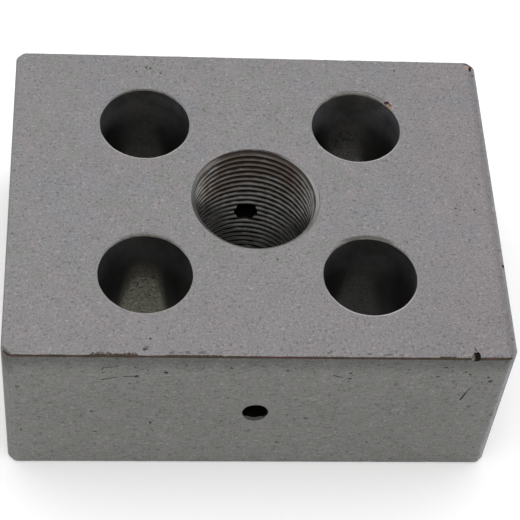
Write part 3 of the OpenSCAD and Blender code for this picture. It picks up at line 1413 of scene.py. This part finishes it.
# %% Dress the rims
RIM_STEEL = (0.26, 0.256, 0.26, 1.0)
RIM_POLISH_HIGHLIGHT = (0.5, 0.49, 0.475, 1.0)
RIM_OIL = (0.075, 0.067, 0.054, 1.0)
MOUTH_OIL_AND_SHADE = (0.05, 0.044, 0.038, 1.0)
MOUTH_PAINTED_REFLECTION = (0.38, 0.375, 0.375, 1.0)
FIRST_TURN = 0.95


def rubbed_rim_highlight(tree, place, back_look):
    """1 where a rope or the rod has polished a rim and it is painted as a highlight, and less on the front
    left hole.
    """
    front = fade(tree, axis_of(tree, place, "Y"), 0.0, -8.0)
    front_left = calc(tree, "MULTIPLY", front, fade(tree, axis_of(tree, place, "X"), -14.0, -18.0))
    rub_and_highlight = fade(tree, back_look, 0.05, 0.4)
    return calc(tree, "MULTIPLY", rub_and_highlight, fade(tree, front_left, 0.0, 1.0, 1.0, 0.4))


def oil_and_groove_shade(tree, place, in_mouth, back_look, sideways):
    """1 where oil lies on the far rims, where oil and painted shade darken the far side of the thread's
    mouth, and on two painted lines of groove shade at its back left.
    """
    oily_rope = fade(tree, back_look, -0.12, -0.4)
    mouth_oil_and_shade = fade(tree, back_look, -0.52, -0.68)
    less = calc(tree, "MULTIPLY", in_mouth, calc(tree, "SUBTRACT", mouth_oil_and_shade, oily_rope))
    oily = calc(tree, "ADD", oily_rope, less)
    # Two dark lines on the mouth's cone are painted shade, standing for grooves that the cone has cut away.
    level = axis_of(tree, place, "Z")
    outer = fade(tree, level, height - 0.5, height - 0.25)
    from_turn = calc(tree, "ABSOLUTE", calc(tree, "SUBTRACT", level, height - FIRST_TURN))
    lines = calc(tree, "MAXIMUM", outer, fade(tree, from_turn, 0.3, 0.08))
    back_left = calc(tree, "MULTIPLY", fade(tree, sideways, 0.1, 0.3), fade(tree, back_look, -0.05, -0.3))
    groove_shade_line = calc(tree, "MULTIPLY", calc(tree, "MULTIPLY", lines, back_left), in_mouth)
    return calc(tree, "MAXIMUM", oily, groove_shade_line)


def bare_rim(tree, in_mouth, rub_and_highlight, sideways):
    """The steel under the oil, painted paler as a highlight on the rubbed rims. The thread's mouth is
    painted paler on the right as a reflection and darker on the left as shade.
    """
    # Painted highlight: the polished rims that face the back are painted far paler than the steel.
    steel = mix_colour(tree, rub_and_highlight, RIM_STEEL, RIM_POLISH_HIGHLIGHT)
    # Painted reflection on the right of the thread's mouth, and painted shade on its left.
    right_mouth = calc(tree, "MULTIPLY", in_mouth, fade(tree, sideways, -0.52, -0.67))
    steel = mix_colour(tree, right_mouth, steel, MOUTH_PAINTED_REFLECTION)
    left_mouth = calc(tree, "MULTIPLY", in_mouth, fade(tree, sideways, 0.45, 0.62))
    return darkened(tree, steel, left_mouth, 0.5)


def dress_hole_rim():
    """The finish of the mouths of the rope holes and of the thread."""
    tree, shader = shader_of("hole_rim")
    place = place_in_mm(tree)
    in_mouth = fade(tree, out_from_axis(tree, place), MOUTH_RADIUS + 1.0, MOUTH_RADIUS + 0.6)
    back_look = facing(tree, "Y")
    sideways = facing(tree, "X")
    rub_and_highlight = rubbed_rim_highlight(tree, place, back_look)
    oily = oil_and_groove_shade(tree, place, in_mouth, back_look, sideways)
    patchy = fade(tree, cloud(tree, place, 0.5, 2.0), 0.36, 0.6, 0.75, 1.0)
    oil = mix_colour(tree, in_mouth, RIM_OIL, MOUTH_OIL_AND_SHADE)
    steel = bare_rim(tree, in_mouth, rub_and_highlight, sideways)
    # The dark colour laid here is real oil on the far rims, and oil with painted shade in the thread's
    # mouth.
    steel = mix_colour(tree, calc(tree, "MULTIPLY", oily, patchy), steel, oil)
    grain = use_group(tree, steel_grain, Grain_size=0.3, Contrast=0.35, Flecks=0.4)
    tree.links.new(toned(tree, steel, grain["Tone"]), shader.inputs["Base Color"])
    tree.links.new(calc(tree, "MULTIPLY_ADD", rub_and_highlight, -0.12, 0.45), shader.inputs["Roughness"])
    tree.links.new(calc(tree, "MULTIPLY_ADD", oily, -0.5, 0.8), shader.inputs["Metallic"])
    shader.inputs["Specular IOR Level"].default_value = STEEL_SPECULAR
    bump(tree, shader, grain["Height"], 0.02)


dress_hole_rim()
print("hole_rim has", len(finish["hole_rim"].node_tree.nodes), "nodes")

# %% [markdown]
# ## Inside the holes
# A drill leaves fine rings round the wall, and a film of old oil has darkened them. The film is grey
# near the mouth and olive below, and it differs from hole to hole. Low on the flanks, in pools on the
# flanks of the front left and back right holes, all through the cross hole and on its worn lower lip,
# the wall is painted darker as painted shade. Where a rope has rubbed the back of the wall clean, the
# steel works like a dim mirror, and the floor under the block shows in it as a pale tongue. The front
# left hole is the cleanest and has the brightest one.

# %% Dress the drilled walls
WALL_OLIVE = (0.335, 0.322, 0.253, 1.0)
WALL_GREY = (0.285, 0.278, 0.265, 1.0)
FILM_OLIVE = (0.034, 0.033, 0.028, 1.0)
FILM_GREY = (0.072, 0.069, 0.067, 1.0)
FILM_BLUE = (0.083, 0.081, 0.087, 1.0)
LIP_SHADE = (0.055, 0.054, 0.052, 1.0)
CLEAN_FRONT_LEFT = 0.95
CLEAN_BACK_LEFT = 0.3
CLEAN_FRONT_RIGHT = 0.32
CLEAN_BACK_RIGHT = 0.6
FILM_TO_FRONT = 0.64
FILM_TO_RIGHT = 1.22
TONGUE_TOP = 36.0
FILM_GRAIN = 0.45
TONGUE_GRAIN = 1.3
# Dark pools low on the flanks of two holes are painted shade, given as (start, end, width) in mm.
SHADE_POOLS = [
    ((18.2, 31.2, 35.0), (20.2, 33.6, 26.0), 5.5),
    ((-38.3, -18.2, 32.0), (-36.6, -16.2, 24.0), 3.8),
    ((-18.7, -18.2, 32.0), (-20.4, -16.2, 24.0), 3.8),
]
DEEP_RING = [
    ((-31.8, -13.4, 32.6), (-28.5, -13.0, 32.6), 0.3),
    ((-28.5, -13.0, 32.6), (-25.6, -13.4, 32.6), 0.3),
]


def hole_share(tree, front, right):
    """How bare the rubbed part of each hole is: most at the front left, and little elsewhere."""
    on_left = fade(tree, front, 0.0, 1.0, CLEAN_BACK_LEFT, CLEAN_FRONT_LEFT)
    on_right = fade(tree, front, 0.0, 1.0, CLEAN_BACK_RIGHT, CLEAN_FRONT_RIGHT)
    return calc(tree, "MULTIPLY_ADD", right, calc(tree, "SUBTRACT", on_right, on_left), on_left)


def rubbed_tongue(tree, place):
    """The part of a wall that a rope rubs: the back of the hole, low down, and wider towards its foot."""
    level = axis_of(tree, place, "Z")
    half = fade(tree, level, TONGUE_TOP, 14.0, 0.26, 0.6)
    sideways = calc(tree, "ABSOLUTE", facing(tree, "X"))
    inside = fade(tree, calc(tree, "SUBTRACT", sideways, half), 0.2, -0.14)
    low = fade(tree, level, TONGUE_TOP + 4.5, TONGUE_TOP - 4.5)
    at_back = fade(tree, facing(tree, "Y"), 0.0, -0.3)
    return calc(tree, "MULTIPLY", calc(tree, "MULTIPLY", inside, low), at_back)


def oil_film(tree, place, front, right):
    """The oil film: grey and a little blue near the mouth, olive below, and darkened low on the flanks as
    painted shade.
    """
    level = axis_of(tree, place, "Z")
    sideways = facing(tree, "X")
    on_flanks = fade(tree, calc(tree, "ABSOLUTE", sideways), 0.3, 0.8)
    near_mouth = mix_colour(tree, on_flanks, FILM_GREY, FILM_BLUE)
    film = mix_colour(tree, fade(tree, level, 26.0, 42.0), FILM_OLIVE, near_mouth)
    # Painted shade: the flanks of each hole are darkened low down.
    left_flank_shade = fade(tree, sideways, 0.3, 0.85, 0.0, 0.78)
    right_flank_shade = fade(tree, sideways, -0.3, -0.85, 0.0, 0.6)
    low = fade(tree, level, 45.5, 36.0)
    flank_shade = calc(tree, "MULTIPLY", calc(tree, "MAXIMUM", left_flank_shade, right_flank_shade), low)
    film = darkened(tree, film, flank_shade, 1.0)
    patches = fade(tree, cloud(tree, place, 0.13, 2.0), 0.35, 0.65, 0.7, 1.3)
    by_hole = calc(
        tree,
        "MULTIPLY",
        fade(tree, front, 0.0, 1.0, 1.0, FILM_TO_FRONT),
        fade(tree, right, 0.0, 1.0, 1.0, FILM_TO_RIGHT),
    )
    return toned(tree, film, calc(tree, "MULTIPLY", patches, by_hole))


def lip_shade_mask(tree, place):
    """1 on the worn lower lip at the front mouth of the cross hole, which is painted dark as painted shade.
    """
    at_mouth = fade(tree, axis_of(tree, place, "Y"), 0.72 - half_depth, 0.6 - half_depth)
    facing_up = calc(tree, "MULTIPLY", at_mouth, fade(tree, facing(tree, "Z"), 0.3, 0.5))
    return calc(tree, "MULTIPLY", facing_up, fade(tree, facing(tree, "Y"), -0.35, -0.55))


def dress_drilled_wall():
    """The finish of the walls of the rope holes and the cross hole."""
    tree, shader = shader_of("drilled_wall")
    place = place_in_mm(tree)
    frayed = fraying(tree, place)
    rings = cloud(tree, vector_calc(tree, "MULTIPLY", place, (0.1, 0.1, 3.2)), 1.0, 3.0, 0.6)
    grain = use_group(tree, steel_grain, Grain_size=0.6, Contrast=0.85, Flecks=0.6)
    front = fade(tree, axis_of(tree, place, "Y"), 6.0, -6.0)
    right = fade(tree, axis_of(tree, place, "X"), -6.0, 6.0)
    clean = calc(tree, "MULTIPLY", hole_share(tree, front, right), rubbed_tongue(tree, place))
    grain_share = fade(tree, clean, 0.0, 0.8, FILM_GRAIN, TONGUE_GRAIN)
    grain_tone = calc(tree, "SUBTRACT", grain["Tone"], 1.0)
    tone = calc(tree, "ADD", around_zero(tree, rings, 0.14), 1.0)
    tone = calc(tree, "MULTIPLY_ADD", grain_tone, grain_share, tone)
    front_left = calc(tree, "MULTIPLY", front, calc(tree, "SUBTRACT", 1.0, right))
    bare_wall = mix_colour(tree, front_left, WALL_GREY, WALL_OLIVE)
    steel = toned(tree, mix_colour(tree, clean, oil_film(tree, place, front, right), bare_wall), tone)
    specks = use_group(tree, stray_pits, Spacing=1.9, Share=0.3, Size=0.45)["Mask"]
    specks = calc(tree, "MAXIMUM", specks, add_marks(tree, place, frayed, DEEP_RING))
    specks = calc(tree, "MULTIPLY", specks, fade(tree, clean, 0.1, 0.5, 0.3, 1.0))
    steel = darkened(tree, steel, specks, 0.65)
    # Painted shade in pools low on the flanks.
    steel = darkened(tree, steel, add_marks(tree, place, frayed, SHADE_POOLS), 0.76)
    # Painted shade deep in the cross hole.
    pin_hole_shade = fade(tree, calc(tree, "ABSOLUTE", axis_of(tree, place, "X")), 6.0, 5.0)
    steel = darkened(tree, steel, pin_hole_shade, 0.8)
    # Painted shade: the worn lower lip of the cross hole is painted near black.
    steel = mix_colour(tree, lip_shade_mask(tree, place), steel, LIP_SHADE)
    tree.links.new(steel, shader.inputs["Base Color"])
    rough = calc(tree, "MULTIPLY_ADD", clean, -0.15, calc(tree, "MULTIPLY_ADD", rings, 0.04, 0.31))
    tree.links.new(rough, shader.inputs["Roughness"])
    tree.links.new(calc(tree, "MULTIPLY_ADD", clean, 0.78, 0.2), shader.inputs["Metallic"])
    shader.inputs["Specular IOR Level"].default_value = STEEL_SPECULAR
    bump(tree, shader, rings, 0.002)


dress_drilled_wall()
print("drilled_wall has", len(finish["drilled_wall"].node_tree.nodes), "nodes")

# %% [markdown]
# ## The finish of the thread
# The crests of the thread are rubbed bright, and the bottoms of its grooves hold brown grime, painted
# nearly black as painted shade as well. How far a point lies from the axis tells crest from groove, so
# the grime and shade follow the helix by themselves. High on the back of the hole the oil has turned
# reddish, and two patches lower down have been smeared over. Deeper down the crests are painted
# darker as painted shade, and the grooves are browner high up and on the left and blacker below with
# painted shade. On the left the crests carry a painted sheen. At the sides of the first groove, its
# dark grime and shade are lighter.

# %% Dress the thread
CREST_STEEL = (0.17, 0.167, 0.157, 1.0)
CREST_RED = (0.115, 0.088, 0.074, 1.0)
GRIME_AND_SHADE_BLACK = (0.009, 0.0075, 0.006, 1.0)
GRIME_BROWN = (0.038, 0.031, 0.027, 1.0)
SMEAR_GREY = (0.06, 0.06, 0.058, 1.0)
LEFT_PAINTED_SHEEN = 1.5
THREAD_SMEARS = [
    ((-11.0, 11.1, 32.0), (-6.5, 14.2, 25.0), 2.6),
    ((10.4, 11.6, 28.5), (13.6, 7.6, 26.5), 2.8),
]
TOOL_LINE = [((4.1, 15.1, 41.0), (5.7, 14.6, 19.0), 0.5)]


def groove_grime_and_shade(tree, place, across, along, level):
    """1 in the bottoms of the grooves, where grime and painted shade lie, and less at the sides of the
    first one.
    """
    out = out_from_axis(tree, place)
    patchy = calc(tree, "ADD", around_zero(tree, cloud(tree, place, 0.5, 3.0), 0.7), out)
    grime_and_shade = fade(tree, patchy, thread_core_radius + 0.12, thread_core_radius + 0.7)
    at_sides = fade(tree, calc(tree, "ABSOLUTE", across), 6.0, 11.5)
    first_groove_sides = calc(tree, "MULTIPLY", fade(tree, level, height - 1.6, height - 0.8), at_sides)
    low_right = calc(tree, "MULTIPLY", fade(tree, across, 10.0, 13.0), fade(tree, along, 7.0, 2.0))
    kept = fade(tree, low_right, 0.0, 1.0, fade(tree, across, -6.0, 6.0, 0.4, 0.7), 0.35)
    return calc(tree, "MULTIPLY", grime_and_shade, fade(tree, first_groove_sides, 0.0, 1.0, 1.0, kept))


def dress_tapped_thread():
    """The finish of the thread."""
    tree, shader = shader_of("tapped_thread")
    place = place_in_mm(tree)
    frayed = fraying(tree, place)
    across = axis_of(tree, place, "X")
    along = axis_of(tree, place, "Y")
    level = axis_of(tree, place, "Z")
    grime_and_shade = groove_grime_and_shade(tree, place, across, along, level)
    high = fade(tree, level, 28.0, 42.0)
    at_back = fade(tree, along, 6.0, 13.0)
    red_patches = fade(tree, cloud(tree, place, 0.14, 2.0), 0.3, 0.6)
    reddish = calc(tree, "MULTIPLY", calc(tree, "MULTIPLY", high, at_back), red_patches)
    grain = use_group(tree, steel_grain, Grain_size=0.4, Contrast=0.35, Flecks=0.4)
    on_left = fade(tree, across, -6.0, -13.0)
    # Painted sheen: the crests on the left are made paler.
    left_sheen = fade(tree, on_left, 0.0, 1.0, 1.0, LEFT_PAINTED_SHEEN)
    crest = mix_colour(tree, reddish, CREST_STEEL, CREST_RED)
    crest = darkened(tree, crest, at_back, 0.16)
    # Painted shade: the crests darken deeper in the hole.
    crest = darkened(tree, crest, fade(tree, level, 30.0, 20.0), 0.15)
    crest = toned(tree, crest, calc(tree, "MULTIPLY", grain["Tone"], left_sheen))
    # Grime and painted shade: the grooves are nearly black low down, and browner high up and on the left.
    groove = mix_colour(tree, calc(tree, "MAXIMUM", high, on_left), GRIME_AND_SHADE_BLACK, GRIME_BROWN)
    colour = mix_colour(tree, grime_and_shade, crest, groove)
    smears = calc(tree, "MULTIPLY", add_marks(tree, place, frayed, THREAD_SMEARS), 0.6)
    colour = mix_colour(tree, smears, colour, SMEAR_GREY)
    colour = darkened(tree, colour, add_marks(tree, place, frayed, TOOL_LINE), 0.3)
    tree.links.new(colour, shader.inputs["Base Color"])
    tree.links.new(calc(tree, "MULTIPLY_ADD", grime_and_shade, 0.45, 0.17), shader.inputs["Roughness"])
    tree.links.new(calc(tree, "MULTIPLY_ADD", grime_and_shade, -0.7, 0.92), shader.inputs["Metallic"])
    shader.inputs["Specular IOR Level"].default_value = 0.08
    bump(tree, shader, grain["Height"], 0.02)


dress_tapped_thread()
print("tapped_thread has", len(finish["tapped_thread"].node_tree.nodes), "nodes")

# %% [markdown]
# ## Inside the chips
# A chip breaks the steel open and then rusts nearly black, with no shine left. The deep nick keeps a
# paler, olive flank on its left, and the chip by the back right hole has fresh, tan rust at its foot.

# %% Dress the chips
PIT_BLACK = (0.009, 0.008, 0.007, 1.0)
FLANK_OLIVE = (0.19, 0.17, 0.125, 1.0)
TAN_RUST = (0.29, 0.165, 0.1, 1.0)
RUST_RED = (0.05, 0.021, 0.018, 1.0)
PALE_FLANK = [((52.1, -49.7, 49.5), (52.4, -48.8, 49.9), 0.75)]
TAN_FOOT = [((37.9, 33.3, 50.0), (38.7, 32.4, 50.0), 0.75)]
RED_HEAD = [((37.0, 34.3, 50.0), (37.7, 33.9, 50.0), 0.9)]


def dress_chipped_pit():
    """The finish of the chips and the nick."""
    tree, shader = shader_of("chipped_pit")
    place = place_in_mm(tree)
    frayed = fraying(tree, place)
    grain = use_group(tree, steel_grain, Grain_size=0.4, Contrast=0.8, Flecks=0.5)
    stain = use_group(tree, brown_stain, Colour=PIT_BLACK, Amount=0.22)
    pit = mix_colour(tree, add_marks(tree, place, frayed, PALE_FLANK), stain["Colour"], FLANK_OLIVE)
    pit = mix_colour(tree, add_marks(tree, place, frayed, RED_HEAD), pit, RUST_RED)
    pit = mix_colour(tree, add_marks(tree, place, frayed, TAN_FOOT), pit, TAN_RUST)
    tree.links.new(toned(tree, pit, grain["Tone"]), shader.inputs["Base Color"])
    shader.inputs["Roughness"].default_value = 0.8
    shader.inputs["Metallic"].default_value = 0.1
    shader.inputs["Specular IOR Level"].default_value = 0.2
    bump(tree, shader, grain["Height"], 0.06)


dress_chipped_pit()
print("chipped_pit has", len(finish["chipped_pit"].node_tree.nodes), "nodes")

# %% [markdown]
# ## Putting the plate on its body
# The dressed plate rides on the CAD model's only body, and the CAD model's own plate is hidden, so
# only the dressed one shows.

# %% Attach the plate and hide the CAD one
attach(plate, "root")
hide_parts("adapter_plate")
